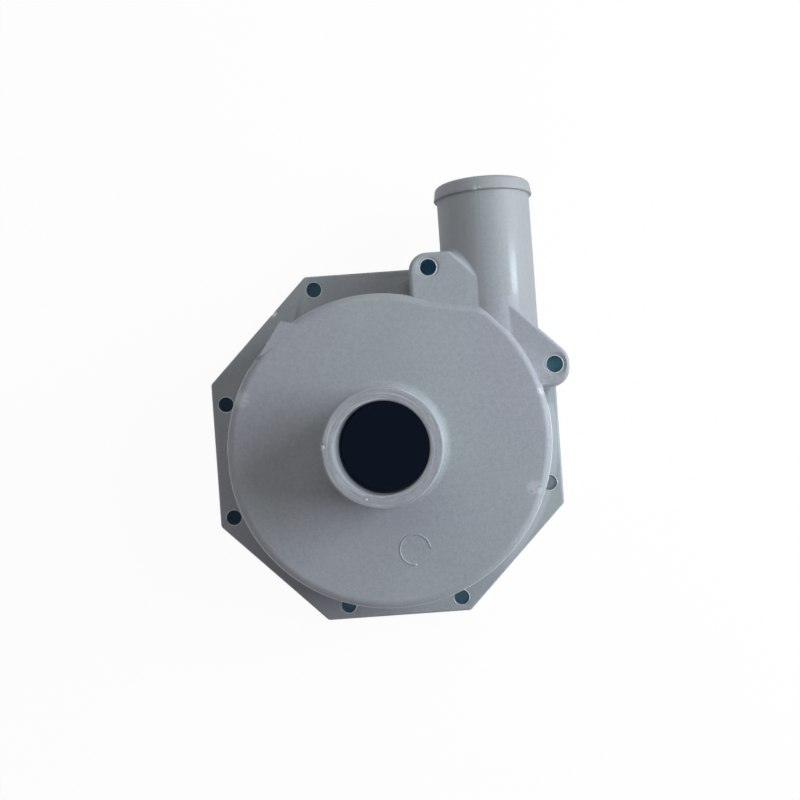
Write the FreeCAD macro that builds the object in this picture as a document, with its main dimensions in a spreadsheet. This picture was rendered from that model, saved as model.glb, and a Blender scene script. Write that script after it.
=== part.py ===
import FreeCAD, Part

import math
import os

import Sketcher

# A cast pump housing. The mating face of its octagonal flange lies in the plane z = 0, the inlet axis
# is the Z axis and the outlet stub points along +Y. All sizes are in millimetres and degrees.

SIZES = [
    ("volute_first_radius", 61.2, "outside radius of the scroll's first arc"),
    ("volute_growth", 1.93, "what each quarter turn adds to the scroll's radius"),
    ("volute_wall", 4.0, "thickness of the scroll's wall"),
    ("tongue_angle", 68.0, "where the scroll starts, from +X towards +Y"),
    ("tongue_run", 21.2, "length of the straight that closes the scroll"),
    ("tongue_round", 12.0, "radius at both ends of that straight"),
    ("drum_height", 43.6, "flange top to the drum's flat face"),
    ("drum_edge_round", 3.5, "radius round the drum's face"),
    ("roof_thickness", 3.5, "thickness of the wall under the face"),
    ("cavity_round", 2.5, "radius where the cavity's wall meets its roof"),
    ("foot_round", 1.5, "radius where the drum meets the flange"),
    ("flange_margin", 8.36, "the scroll's last arc to the flats of the flange"),
    ("flange_thickness", 8.0, "flange, from the mating face to its top"),
    ("flange_corner_round", 2.0, "radius of the eight upright corners"),
    ("flange_edge_round", 1.0, "radius of the flange's top edge"),
    ("gate_angle", 125.7, "where the gate land's tip stands, from +X towards +Y"),
    ("gate_reach", 3.4, "the scroll's first radius to the tip"),
    ("gate_length", 17.0, "length of the land, from its tip to its tail"),
    ("gate_depth", 8.1, "the tip to the land's root, inside the wall"),
    ("gate_back", 34.6, "slope of the land's steep side, off the radius"),
    ("gate_step", 0.15, "how far the land's top lies under the face"),
    ("gate_edge_round", 0.5, "radius of the land's top edge"),
    ("block_step", 1.8, "how far the corner block's top lies under the face"),
    ("block_edge_round", 1.5, "radius of the block's top edge"),
    ("ear_side_wall", 7.7, "side ear's hole axis to the block's left wall"),
    ("ear_side_round", 7.3, "corner radius round the side ear"),
    ("ear_end_wall", 8.9, "end ear's hole axis to the block's lower wall"),
    ("ear_end_round", 7.6, "corner radius round the end ear"),
    ("screw_hole", 6.0, "diameter of the eight screw holes"),
    ("screw_edge_distance", 6.05, "hole axis to the nearest flat of the flange"),
    ("screw_near_corner", 3.715, "the octagon's corner to the near hole's axis, along the flat"),
    ("screw_far_corner", 9.215, "the octagon's corner to the far hole's axis, along the flat"),
    ("screw_edge_break", 0.45, "edge break at the mouth of each screw hole"),
    ("screws_per_circle", 4.0, "holes on each of the two bolt circles"),
    ("spot_face", 9.4, "diameter of the shallow spot faces on the two ears"),
    ("spot_face_depth", 0.35, "depth of the spot faces"),
    ("spot_face_slope", 45.0, "slope of the spot faces' walls, off the hole's axis"),
    ("inlet_rise", 32.8, "the drum's face to the inlet's rim"),
    ("inlet_neck", 42.0, "outside diameter of the inlet's neck"),
    ("inlet_wall", 3.65, "thickness of the neck's wall"),
    ("inlet_bead_rise", 1.6, "how far the bead's back stands off the neck"),
    ("inlet_tip_rise", 1.3, "how far the bead stands off at the rim, before rounding"),
    ("inlet_bead_length", 5.7, "length of the bead along the neck"),
    ("inlet_tip_round", 0.9, "radius of the rim's outer edge"),
    ("inlet_root_round", 5.5, "radius where the neck meets the face"),
    ("outlet_pipe", 38.0, "outside diameter of the outlet stub"),
    ("outlet_wall", 3.0, "thickness of the stub's wall"),
    ("outlet_inset", 0.99, "how far the stub's flank lies inside the scroll's last arc"),
    ("outlet_top_gap", 0.9, "how far the stub's top lies under the face"),
    ("outlet_start", 9.0, "inlet axis to the stub's inner end, along Y"),
    ("outlet_length", 28.7, "the flange's flat to the stub's open end"),
    ("outlet_root_round", 2.0, "radius where the stub leaves the corner block"),
    ("outlet_bead_rise", 1.3, "how far the bead's back stands off the stub"),
    ("outlet_tip_rise", 0.4, "how far the bead stands off at the end, before rounding"),
    ("outlet_bead_length", 5.7, "length of the bead along the stub"),
    ("outlet_tip_round", 2.0, "radius of the end's outer edge"),
    ("bead_back_break", 0.4, "edge break at the back of both beads"),
    ("bore_edge_break", 0.5, "edge break at the mouths of inlet and outlet"),
    ("witness_angle", -77.8, "where the witness ring lies, from +X towards +Y"),
    ("witness_margin", 12.64, "the scroll's first radius to the ring"),
    ("witness_ring", 12.0, "diameter of the ring along its crest"),
    ("witness_section", 0.6, "radius of the ring's round section"),
    ("witness_rise", 0.2, "how far the ring stands out of the face"),
    ("witness_sweep", 275.0, "how far round the ring goes before it is worn away"),
]

TOLERANCE = 1e-4
FULL_TURN = 360.0
QUARTER = math.pi / 2

doc = FreeCAD.newDocument("pump_housing")
sheet = doc.addObject("Spreadsheet::Sheet", "Sizes")
sheet.Label = "Sizes"
for row, (alias, value, meaning) in enumerate(SIZES, start=1):
    sheet.set(f"A{row}", alias)
    sheet.set(f"B{row}", str(value))
    sheet.setAlias(f"B{row}", alias)
    sheet.set(f"C{row}", meaning)
doc.recompute()


def size(alias):
    """The number that the sheet holds under this alias."""
    return float(sheet.get(alias))


def sheet_value(formula):
    """What a formula of sheet sizes comes to."""
    value = sheet.evalExpression(formula)
    return float(getattr(value, "Value", value))


# Places that several features share, each worked out from the sheet.
LAST_RADIUS = "(Sizes.volute_first_radius + 3 * Sizes.volute_growth)"
HALF_FLANGE = f"({LAST_RADIUS} + Sizes.flange_margin)"
CORNER = f"({HALF_FLANGE} * tan(22.5 deg))"
FACE = "(Sizes.flange_thickness + Sizes.drum_height)"
ROOF = f"({FACE} - Sizes.roof_thickness)"
BLOCK_TOP = f"({FACE} - Sizes.block_step)"
SCREW_REACH = f"({HALF_FLANGE} - Sizes.screw_edge_distance)"
SCREW_NEAR = f"({CORNER} - Sizes.screw_near_corner)"
SCREW_FAR = f"({CORNER} - Sizes.screw_far_corner)"
RIM = f"({FACE} + Sizes.inlet_rise)"
OUTLET_X = f"({LAST_RADIUS} - Sizes.outlet_inset - Sizes.outlet_pipe / 2)"
OUTLET_Z = f"({FACE} - Sizes.outlet_top_gap - Sizes.outlet_pipe / 2)"
OUTLET_END = f"({HALF_FLANGE} + Sizes.outlet_length)"

half_flange = sheet_value(HALF_FLANGE)
flange_top = size("flange_thickness")
face_height = sheet_value(FACE)
block_top = sheet_value(BLOCK_TOP)

body = doc.addObject("PartDesign::Body", "pump_housing")
body.Label = "pump_housing"
X_AXIS_INDEX, Y_AXIS_INDEX = -1, -2
START_INDEX, END_INDEX, CENTRE_INDEX = 1, 2, 3
ORIGIN = (X_AXIS_INDEX, START_INDEX)
UPRIGHT = FreeCAD.Vector(0, 0, 1)


def flat(x, y):
    """A point in a sketch's own plane."""
    return FreeCAD.Vector(x, y, 0)


def attach(item, role="XY_Plane", offsets=None):
    """Put a feature on one of the body's origin planes, shifted or turned by the given formulas."""
    plane = next(found for found in body.Origin.OriginFeatures if found.Role == role)
    item.AttachmentSupport = [(plane, "")]
    item.MapMode = "FlatFace"
    for path, formula in (offsets or {}).items():
        item.setExpression("AttachmentOffset." + path, formula)
    doc.recompute()


def new_sketch(name, role="XY_Plane", offsets=None):
    """An empty sketch on one of the body's origin planes."""
    sketch = body.newObject("Sketcher::SketchObject", name)
    attach(sketch, role, offsets)
    return sketch


def constrain(sketch, *constraint):
    """A constraint with no size of its own. Gives its number."""
    return sketch.addConstraint(Sketcher.Constraint(*constraint))


def dimension(sketch, name, formula, *constraint):
    """A named driving dimension whose value comes from the sheet."""
    index = constrain(sketch, *constraint, sheet_value(formula))
    sketch.renameConstraint(index, name)
    sketch.setExpression("Constraints." + name, formula)


def set_place(sketch, name, geometry, point, along_x, along_y):
    """Hold a point of the sketch at two formulas, counted from the sketch's origin."""
    if along_x == "0":
        constrain(sketch, "PointOnObject", geometry, point, Y_AXIS_INDEX)
    elif along_x is not None:
        dimension(sketch, name + "_x", along_x, "DistanceX", *ORIGIN, geometry, point)
    if along_y == "0":
        constrain(sketch, "PointOnObject", geometry, point, X_AXIS_INDEX)
    elif along_y is not None:
        dimension(sketch, name + "_y", along_y, "DistanceY", *ORIGIN, geometry, point)


def closed_outline(sketch, points):
    """Straight edges from point to point, joined end to end. Gives the number of each edge."""
    edges = []
    for here, there in zip(points, points[1:] + points[:1]):
        edges.append(sketch.addGeometry(Part.LineSegment(flat(*here), flat(*there)), False))
    for edge, following in zip(edges, edges[1:] + edges[:1]):
        constrain(sketch, "Coincident", edge, END_INDEX, following, START_INDEX)
    return edges


def cornered_outline(name, role, offsets, corners):
    """A sketch of straight edges. Each corner is a pair of formulas."""
    sketch = new_sketch(name, role, offsets)
    edges = closed_outline(sketch, [(sheet_value(x), sheet_value(y)) for x, y in corners])
    for number, (edge, (x, y)) in enumerate(zip(edges, corners)):
        set_place(sketch, f"corner_{number}", edge, START_INDEX, x, y)
    doc.recompute()
    return sketch


def feature(kind, name, settings, formulas=None):
    """A PartDesign feature of the body, with fixed settings and sizes bound to the sheet."""
    made = body.newObject("PartDesign::" + kind, name)
    for key, value in settings.items():
        setattr(made, key, value)
    for key, formula in (formulas or {}).items():
        made.setExpression(key, formula)
    doc.recompute()
    return made


def turn(kind, name, sketch):
    """A Revolution or Groove of a sketch about its own upright axis."""
    return feature(kind, name, {"Profile": sketch, "ReferenceAxis": (sketch, ["V_Axis"]), "Angle": FULL_TURN})


def edges_of(base, wanted):
    """Names of the edges of a feature's shape for which the test holds."""
    return [f"Edge{n}" for n, edge in enumerate(base.Shape.Edges, start=1) if wanted(edge)]


def fillet(name, base, wanted, alias):
    """Round the edges that the test picks."""
    return feature("Fillet", name, {"Base": (base, edges_of(base, wanted))}, {"Radius": "Sizes." + alias})


def chamfer(name, base, wanted, alias):
    """Break the edges that the test picks."""
    return feature("Chamfer", name, {"Base": (base, edges_of(base, wanted))}, {"Size": "Sizes." + alias})


def middle_of(edge):
    """The point halfway along an edge."""
    return edge.valueAt((edge.FirstParameter + edge.LastParameter) / 2)


def off_axis(edge):
    """How far the middle of the edge lies from the inlet axis."""
    middle = middle_of(edge)
    return math.hypot(middle.x, middle.y)


def at_height(edge, height):
    """True if the whole edge lies at this height."""
    box = edge.BoundBox
    return abs(box.ZMin - height) < TOLERANCE and abs(box.ZMax - height) < TOLERANCE


def above(edge, outline):
    """True if the middle of the edge lies straight above a line of this sketch."""
    middle = middle_of(edge)
    return outline.distToShape(Part.Vertex(middle.x, middle.y, 0))[0] < TOLERANCE


def is_upright(edge):
    """True for a straight edge parallel to the inlet axis."""
    if not isinstance(edge.Curve, Part.Line):
        return False
    return abs(abs(edge.Curve.Direction.z) - 1) < TOLERANCE


def is_circle(edge, diameter):
    """True for a full circle of this diameter."""
    if not isinstance(edge.Curve, Part.Circle) or len(edge.Vertexes) != 1:
        return False
    return abs(edge.Curve.Radius - diameter / 2) < TOLERANCE


# The scroll. Its outline is the draughtsman's four-centre spiral: quarter arcs struck from the
# corners of a small square, each larger than the last by the side of the square, so that they
# run into each other smoothly. A short straight closes the outline at the tongue.
def scroll_outline(name, first_radius):
    """The scroll's outline, from the formula of its first arc's radius."""
    sketch = new_sketch(name, offsets={"Rotation.Angle": "Sizes.tongue_angle"})
    side, run = size("volute_growth"), size("tongue_run")
    corners = [(-side / 2, side / 2), (-side / 2, -side / 2), (side / 2, -side / 2), (side / 2, side / 2)]
    square = closed_outline(sketch, corners)
    for edge in square:
        sketch.setConstruction(edge, True)
    for left_or_right in (square[0], square[2]):
        constrain(sketch, "Vertical", left_or_right)
    for top_or_bottom in (square[1], square[3]):
        constrain(sketch, "Horizontal", top_or_bottom)
    constrain(sketch, "Equal", square[0], square[1])
    constrain(sketch, "Symmetric", square[0], START_INDEX, square[2], START_INDEX, *ORIGIN)
    dimension(sketch, "side", "Sizes.volute_growth",
              "DistanceX", square[1], START_INDEX, square[1], END_INDEX)

    # The last arc stops short of its quarter by the angle that the straight takes up there.
    first = sheet_value(first_radius)
    last, base = first + 3 * side, first - side
    gap = math.acos((last ** 2 + base ** 2 - run ** 2) / (2 * last * base))
    ends = [QUARTER, 2 * QUARTER, 3 * QUARTER, 4 * QUARTER - gap]
    arcs = []
    for quarter, (corner, end) in enumerate(zip(corners, ends)):
        circle = Part.Circle(flat(*corner), UPRIGHT, first + quarter * side)
        arcs.append(sketch.addGeometry(Part.ArcOfCircle(circle, quarter * QUARTER, end), False))
    for arc, edge in zip(arcs, square):
        constrain(sketch, "Coincident", arc, CENTRE_INDEX, edge, START_INDEX)
    for arc, following, edge in zip(arcs, arcs[1:], square):
        constrain(sketch, "Coincident", arc, END_INDEX, following, START_INDEX)
        constrain(sketch, "PointOnObject", arc, END_INDEX, edge)
    constrain(sketch, "PointOnObject", arcs[0], START_INDEX, square[3])
    straight = sketch.addGeometry(
        Part.LineSegment(sketch.Geometry[arcs[3]].EndPoint, sketch.Geometry[arcs[0]].StartPoint), False)
    constrain(sketch, "Coincident", arcs[3], END_INDEX, straight, START_INDEX)
    constrain(sketch, "Coincident", straight, END_INDEX, arcs[0], START_INDEX)
    dimension(sketch, "first_radius", first_radius, "Radius", arcs[0])
    dimension(sketch, "run", "Sizes.tongue_run", "Distance", straight)
    doc.recompute()
    return sketch


def at_tongue(edge, outline):
    """True for an upright edge that stands on an end of the outline's only straight."""
    straight = next(found for found in outline.Shape.Edges if isinstance(found.Curve, Part.Line))
    foot = Part.Vertex(edge.CenterOfMass.x, edge.CenterOfMass.y, 0)
    return is_upright(edge) and any(foot.distToShape(end)[0] < TOLERANCE for end in straight.Vertexes)


# The drum: the scroll's outline carried up from the mating face to the flat face.
drum_outline = scroll_outline("drum_outline", "Sizes.volute_first_radius")
drum = feature("Pad", "drum", {"Profile": drum_outline}, {"Length": FACE})
drum_tongue = fillet("drum_tongue", drum, lambda edge: at_tongue(edge, drum_outline), "tongue_round")
drum_edge = fillet("drum_edge", drum_tongue, lambda edge: at_height(edge, face_height), "drum_edge_round")

# The flange: a regular octagon with its flats square to X and Y.
flange_outline = new_sketch("flange_outline")
ring_radius = half_flange / math.cos(QUARTER / 4)
turns = [(2 * step + 1) * QUARTER / 4 for step in range(8)]
flange_edges = closed_outline(
    flange_outline, [(ring_radius * math.cos(angle), ring_radius * math.sin(angle)) for angle in turns])
ring = flange_outline.addGeometry(Part.Circle(flat(0, 0), UPRIGHT, ring_radius), True)
constrain(flange_outline, "Coincident", ring, CENTRE_INDEX, *ORIGIN)
for flange_edge in flange_edges:
    constrain(flange_outline, "PointOnObject", flange_edge, START_INDEX, ring)
for flange_edge in flange_edges[1:]:
    constrain(flange_outline, "Equal", flange_edges[0], flange_edge)
constrain(flange_outline, "Horizontal", flange_edges[1])
dimension(flange_outline, "half_width", HALF_FLANGE, "DistanceY", *ORIGIN, flange_edges[1], START_INDEX)
flange = feature("Pad", "flange", {"Profile": flange_outline}, {"Length": "Sizes.flange_thickness"})


def at_flange_corner(edge):
    """True for the octagon's upright edges."""
    return is_upright(edge) and off_axis(edge) > half_flange


def at_flange_rim(edge):
    """True for the outer edges of the flange's top."""
    return at_height(edge, flange_top) and off_axis(edge) > half_flange - TOLERANCE


def at_drum_foot(edge):
    """True for the scroll's outline where the drum stands on the flange."""
    return at_height(edge, flange_top) and off_axis(edge) < half_flange - size("flange_margin") / 2


flange_corners = fillet("flange_corners", flange, at_flange_corner, "flange_corner_round")
flange_rim = fillet("flange_rim", flange_corners, at_flange_rim, "flange_edge_round")
drum_foot = fillet("drum_foot", flange_rim, at_drum_foot, "foot_round")

# The gate land: a low wedge on the drum's wall, steep on one side and running out on the other.
# Its tail lies at the scroll's first radius from the inlet axis, which is a little inside the wall.
GATE_TIP = "(Sizes.volute_first_radius + Sizes.gate_reach)"
GATE_TAIL = "sqrt(Sizes.volute_first_radius ^ 2 - Sizes.gate_length ^ 2)"
GATE_TOP = f"({FACE} - Sizes.gate_step)"
gate_outline = cornered_outline("gate_outline", "XY_Plane", {"Rotation.Angle": "Sizes.gate_angle"}, [
    (GATE_TIP, "0"),
    (GATE_TAIL, "Sizes.gate_length"),
    (GATE_TIP + " - Sizes.gate_depth", "-Sizes.gate_depth * tan(Sizes.gate_back * 1 deg)"),
])
gate_land = feature("Pad", "gate_land", {"Profile": gate_outline}, {"Length": GATE_TOP})


def on_gate_rim(edge):
    """True for the top edges of the gate land."""
    return at_height(edge, sheet_value(GATE_TOP)) and above(edge, gate_outline.Shape)


gate_rim = fillet("gate_rim", gate_land, on_gate_rim, "gate_edge_round")

# The corner block: it fills the octagon's corner beside the outlet up to the two tall screw ears.
# Its outer walls are the flange's own flats. Its inner corners lie inside the drum.
block_outline = new_sketch("block_outline")
LEFT_WALL = f"({SCREW_FAR} - Sizes.ear_side_wall)"
LOWER_WALL = f"({SCREW_NEAR} - Sizes.ear_end_wall)"
left, low = sheet_value(LEFT_WALL), sheet_value(LOWER_WALL)
inner, corner = sheet_value(OUTLET_X), sheet_value(CORNER)
side_round, end_round = size("ear_side_round"), size("ear_end_round")
small_round = size("flange_corner_round")
low_setback, high_setback = (radius * math.tan(QUARTER / 4) for radius in (end_round, small_round))
low_slant, high_slant = low_setback / math.sqrt(2), high_setback / math.sqrt(2)
wall_ends = [
    ((inner, low), (half_flange - end_round, low)),
    ((half_flange, low + end_round), (half_flange, corner - low_setback)),
    ((half_flange - low_slant, corner + low_slant), (corner + high_slant, half_flange - high_slant)),
    ((corner - high_setback, half_flange), (left + side_round, half_flange)),
    ((left, half_flange - side_round), (left, inner)),
]
walls = [block_outline.addGeometry(Part.LineSegment(flat(*here), flat(*there)), False)
         for here, there in wall_ends]
closing = block_outline.addGeometry(Part.LineSegment(flat(left, inner), flat(inner, low)), False)
wall_rounds = [
    ("end_ear", "ear_end_round", (half_flange - end_round, low + end_round), -90, 0),
    ("low_corner", "ear_end_round", (half_flange - end_round, corner - low_setback), 0, 45),
    ("high_corner", "flange_corner_round", (corner - high_setback, half_flange - small_round), 45, 90),
    ("side_ear", "ear_side_round", (left + side_round, half_flange - side_round), 90, 180),
]
rounds = []
for name, alias, centre, first, last in wall_rounds:
    circle = Part.Circle(flat(*centre), UPRIGHT, size(alias))
    arc = Part.ArcOfCircle(circle, math.radians(first), math.radians(last))
    rounds.append(block_outline.addGeometry(arc, False))
for before, arc, after in zip(walls, rounds, walls[1:]):
    constrain(block_outline, "Tangent", before, END_INDEX, arc, START_INDEX)
    constrain(block_outline, "Tangent", arc, END_INDEX, after, START_INDEX)
constrain(block_outline, "Coincident", walls[4], END_INDEX, closing, START_INDEX)
constrain(block_outline, "Coincident", closing, END_INDEX, walls[0], START_INDEX)
for upright in (walls[1], walls[4]):
    constrain(block_outline, "Vertical", upright)
for level in (walls[0], walls[3]):
    constrain(block_outline, "Horizontal", level)
constrain(block_outline, "Angle", walls[2], math.radians(135))
set_place(block_outline, "lower_wall", walls[0], START_INDEX, OUTLET_X, LOWER_WALL)
set_place(block_outline, "right_wall", walls[1], START_INDEX, HALF_FLANGE, None)
dimension(block_outline, "slant_wall", HALF_FLANGE, "Distance", *ORIGIN, walls[2])
set_place(block_outline, "upper_wall", walls[3], END_INDEX, None, HALF_FLANGE)
set_place(block_outline, "left_wall", walls[4], END_INDEX, LEFT_WALL, OUTLET_X)
for (name, alias, centre, first, last), arc in zip(wall_rounds, rounds):
    dimension(block_outline, name, "Sizes." + alias, "Radius", arc)
corner_block = feature("Pad", "corner_block", {"Profile": block_outline}, {"Length": BLOCK_TOP})


def on_block_rim(edge):
    """True for the outer edges of the corner block's top."""
    return at_height(edge, block_top) and above(edge, block_outline.Shape)


block_rim = fillet("block_rim", corner_block, on_block_rim, "block_edge_round")

# The outlet stub: turned about an axis parallel to Y, from inside the drum to its open end.
# Its flank leaves the scroll's last arc almost along a tangent. A low bead holds the hose.
OUTLET_AXIS = {"Base.x": OUTLET_X, "Base.z": OUTLET_Z}
OUTLET_RADIUS = "Sizes.outlet_pipe / 2"
OUTLET_BORE = "(Sizes.outlet_pipe / 2 - Sizes.outlet_wall)"
OUTLET_BACK = f"({OUTLET_END} - Sizes.outlet_bead_length)"
outlet_profile = cornered_outline("outlet_profile", "XY_Plane", OUTLET_AXIS, [
    ("0", "Sizes.outlet_start"),
    (OUTLET_RADIUS, "Sizes.outlet_start"),
    (OUTLET_RADIUS, OUTLET_BACK),
    (OUTLET_RADIUS + " + Sizes.outlet_bead_rise", OUTLET_BACK),
    (OUTLET_RADIUS + " + Sizes.outlet_tip_rise", OUTLET_END),
    ("0", OUTLET_END),
])
outlet_stub = turn("Revolution", "outlet_stub", outlet_profile)
outlet_tip_width = size("outlet_pipe") + 2 * size("outlet_tip_rise")


def at_outlet_root(edge):
    """True where the stub's round wall leaves the outer walls of the corner block."""
    middle = middle_of(edge)
    reach = math.hypot(middle.x - sheet_value(OUTLET_X), middle.z - sheet_value(OUTLET_Z))
    return abs(reach - size("outlet_pipe") / 2) < TOLERANCE and above(edge, block_outline.Shape)


outlet_root = fillet("outlet_root", outlet_stub, at_outlet_root, "outlet_root_round")
outlet_tip = fillet("outlet_tip", outlet_root, lambda edge: is_circle(edge, outlet_tip_width),
                    "outlet_tip_round")

# The inlet nozzle: turned about the Z axis, from inside the roof to the rim, with the same bead.
INLET_RADIUS = "Sizes.inlet_neck / 2"
INLET_BORE = "(Sizes.inlet_neck / 2 - Sizes.inlet_wall)"
INLET_FOOT = f"({FACE} - Sizes.roof_thickness / 2)"
INLET_BACK = f"({RIM} - Sizes.inlet_bead_length)"
inlet_profile = cornered_outline("inlet_profile", "XZ_Plane", {}, [
    ("0", INLET_FOOT),
    (INLET_RADIUS, INLET_FOOT),
    (INLET_RADIUS, INLET_BACK),
    (INLET_RADIUS + " + Sizes.inlet_bead_rise", INLET_BACK),
    (INLET_RADIUS + " + Sizes.inlet_tip_rise", RIM),
    ("0", RIM),
])
inlet_nozzle = turn("Revolution", "inlet_nozzle", inlet_profile)
inlet_tip_width = size("inlet_neck") + 2 * size("inlet_tip_rise")


def at_inlet_root(edge):
    """True for the circle where the neck stands on the face."""
    return at_height(edge, face_height) and is_circle(edge, size("inlet_neck"))


def on_bead_back(edge):
    """True for the outer edge at the back of either bead."""
    on_inlet = is_circle(edge, size("inlet_neck") + 2 * size("inlet_bead_rise"))
    return on_inlet or is_circle(edge, size("outlet_pipe") + 2 * size("outlet_bead_rise"))


inlet_root = fillet("inlet_root", inlet_nozzle, at_inlet_root, "inlet_root_round")
inlet_tip = fillet("inlet_tip", inlet_root, lambda edge: is_circle(edge, inlet_tip_width), "inlet_tip_round")
bead_backs = chamfer("bead_backs", inlet_tip, on_bead_back, "bead_back_break")

# The scroll's cavity, open at the mating face, and the two bores that lead into it.
cavity_outline = scroll_outline("cavity_outline", "Sizes.volute_first_radius - Sizes.volute_wall")
cavity = feature("Pocket", "cavity", {"Profile": cavity_outline, "Reversed": True}, {"Length": ROOF})
cavity_tongue = fillet("cavity_tongue", cavity, lambda edge: at_tongue(edge, cavity_outline), "tongue_round")
cavity_edge = fillet("cavity_edge", cavity_tongue, lambda edge: at_height(edge, sheet_value(ROOF)),
                     "cavity_round")

outlet_core = cornered_outline("outlet_core", "XY_Plane", OUTLET_AXIS, [
    ("0", "Sizes.outlet_start"),
    (OUTLET_BORE, "Sizes.outlet_start"),
    (OUTLET_BORE, OUTLET_END),
    ("0", OUTLET_END),
])
outlet_passage = turn("Groove", "outlet_passage", outlet_core)
inlet_core = cornered_outline("inlet_core", "XZ_Plane", {}, [
    ("0", ROOF + " - Sizes.roof_thickness"),
    (INLET_BORE, ROOF + " - Sizes.roof_thickness"),
    (INLET_BORE, RIM),
    ("0", RIM),
])
inlet_passage = turn("Groove", "inlet_passage", inlet_core)


def on_bore_mouth(edge):
    """True for the inner edges of the inlet's rim and the outlet's end."""
    on_inlet = is_circle(edge, 2 * sheet_value(INLET_BORE)) and at_height(edge, sheet_value(RIM))
    at_end = abs(edge.BoundBox.YMin - sheet_value(OUTLET_END)) < TOLERANCE
    return on_inlet or (at_end and is_circle(edge, 2 * sheet_value(OUTLET_BORE)))


bore_mouths = chamfer("bore_mouths", inlet_passage, on_bore_mouth, "bore_edge_break")

# The spot faces: shallow seats with sloping walls round the holes of the two tall ears.
spot_outline = new_sketch("spot_outline", offsets={"Base.z": BLOCK_TOP})
for name, along_x, along_y in (("side", SCREW_FAR, SCREW_REACH), ("end", SCREW_REACH, SCREW_NEAR)):
    centre = flat(sheet_value(along_x), sheet_value(along_y))
    seat = spot_outline.addGeometry(Part.Circle(centre, UPRIGHT, size("spot_face") / 2), False)
    dimension(spot_outline, name + "_width", "Sizes.spot_face", "Diameter", seat)
    set_place(spot_outline, name, seat, CENTRE_INDEX, along_x, along_y)
spot_faces = feature("Pocket", "spot_faces", {"Profile": spot_outline},
                     {"Length": "Sizes.spot_face_depth", "TaperAngle": "-Sizes.spot_face_slope"})


# Eight screw holes on two bolt circles: one of each circle is cut and turned about the inlet axis.
def screw_circle(name, along):
    """Four holes through the flange, or through the tall ears where those stand."""
    sketch = new_sketch(name + "_outline")
    centre = flat(sheet_value(along), sheet_value(SCREW_REACH))
    hole = sketch.addGeometry(Part.Circle(centre, UPRIGHT, size("screw_hole") / 2), False)
    dimension(sketch, "width", "Sizes.screw_hole", "Diameter", hole)
    set_place(sketch, "axis", hole, CENTRE_INDEX, along, SCREW_REACH)
    doc.recompute()
    cut = feature("Pocket", name, {"Profile": sketch, "Type": "ThroughAll", "Reversed": True})
    pattern = feature("PolarPattern", name + "_pattern",
                      {"Originals": [cut], "Axis": (sketch, ["N_Axis"]), "Angle": FULL_TURN},
                      {"Occurrences": "Sizes.screws_per_circle"})
    body.Tip = pattern
    doc.recompute()
    return pattern


screw_circle("screws_near", "-" + SCREW_NEAR)
screws = screw_circle("screws_far", SCREW_FAR)


def on_screw_mouth(edge):
    """True for the upper mouths of the screw holes."""
    seat_height = block_top - size("spot_face_depth")
    on_top = at_height(edge, flange_top) or at_height(edge, seat_height)
    return on_top and is_circle(edge, size("screw_hole"))


screw_mouths = chamfer("screw_mouths", screws, on_screw_mouth, "screw_edge_break")

# The witness ring: a low round line that a round insert of the die leaves on the face.
WITNESS_REACH = "(Sizes.volute_first_radius - Sizes.witness_margin - Sizes.witness_ring / 2)"
witness = feature("AdditiveTorus", "witness", {}, {
    "Radius1": "Sizes.witness_ring / 2",
    "Radius2": "Sizes.witness_section",
    "Angle3": "Sizes.witness_sweep * 1 deg",
})
attach(witness, offsets={
    "Base.x": WITNESS_REACH + " * cos(Sizes.witness_angle * 1 deg)",
    "Base.y": WITNESS_REACH + " * sin(Sizes.witness_angle * 1 deg)",
    "Base.z": FACE + " + Sizes.witness_rise - Sizes.witness_section",
})
body.Tip = witness

doc.recompute()
failed = [item.Name for item in doc.Objects if "Invalid" in item.State or "Error" in item.State]
if failed or body.Shape.isNull() or not body.Shape.isValid() or len(body.Shape.Solids) != 1:
    raise RuntimeError(f"the housing isn't one sound solid; failed features: {failed}")
os.makedirs("parts", exist_ok=True)
body.Shape.exportStep(f"parts/{body.Label}.step")
print(f"{body.Label}: volume {body.Shape.Volume:.0f} mm3, faces {len(body.Shape.Faces)}")
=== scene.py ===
# %% [markdown]
# # A die-cast pump housing
#
# The object is the housing of a small centrifugal pump, lying on its mating face and seen from above.
# The packed model already holds its shape: flange, scroll, nozzle and outlet stub are one casting.
# This lesson gives that casting smooth shading, a blasted metal finish, its small marks, and a studio.

# %% Load the packed model
import math

import bmesh
import bpy
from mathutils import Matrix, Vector, noise


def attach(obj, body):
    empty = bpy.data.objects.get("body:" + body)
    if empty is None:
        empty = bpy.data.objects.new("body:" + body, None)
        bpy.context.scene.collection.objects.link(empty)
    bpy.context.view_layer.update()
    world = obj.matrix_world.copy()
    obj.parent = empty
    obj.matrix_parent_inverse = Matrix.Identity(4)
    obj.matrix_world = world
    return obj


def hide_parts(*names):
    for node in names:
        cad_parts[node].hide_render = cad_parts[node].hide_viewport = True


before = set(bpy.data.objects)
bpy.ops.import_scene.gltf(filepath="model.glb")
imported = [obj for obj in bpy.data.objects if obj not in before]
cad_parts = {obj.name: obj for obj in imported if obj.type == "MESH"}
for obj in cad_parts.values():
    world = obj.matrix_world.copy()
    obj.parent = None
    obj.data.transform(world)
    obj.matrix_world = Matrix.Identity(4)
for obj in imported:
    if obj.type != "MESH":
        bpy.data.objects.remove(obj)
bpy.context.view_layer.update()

# %% [markdown]
# ## The camera
#
# The photograph looks straight down from about 45 cm above the floor, with the housing turned by four
# degrees. The near nozzle therefore looks larger than the flange, and the inside of its wall shows at
# the left. A small lens shift moves the picture, as a crop does, and leaves the perspective alone.

# %% Camera above the flange
PICTURE_WIDTH = 800
FOCAL_PIXELS = 1003
SENSOR_WIDTH = 36.0
CAMERA_PLACE = (0.0120, 0.0084, 0.4468)
HOUSING_TURN = math.radians(4.1)
VIEW_SHIFT = (-13.7 / PICTURE_WIDTH, 22.5 / PICTURE_WIDTH)

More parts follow.
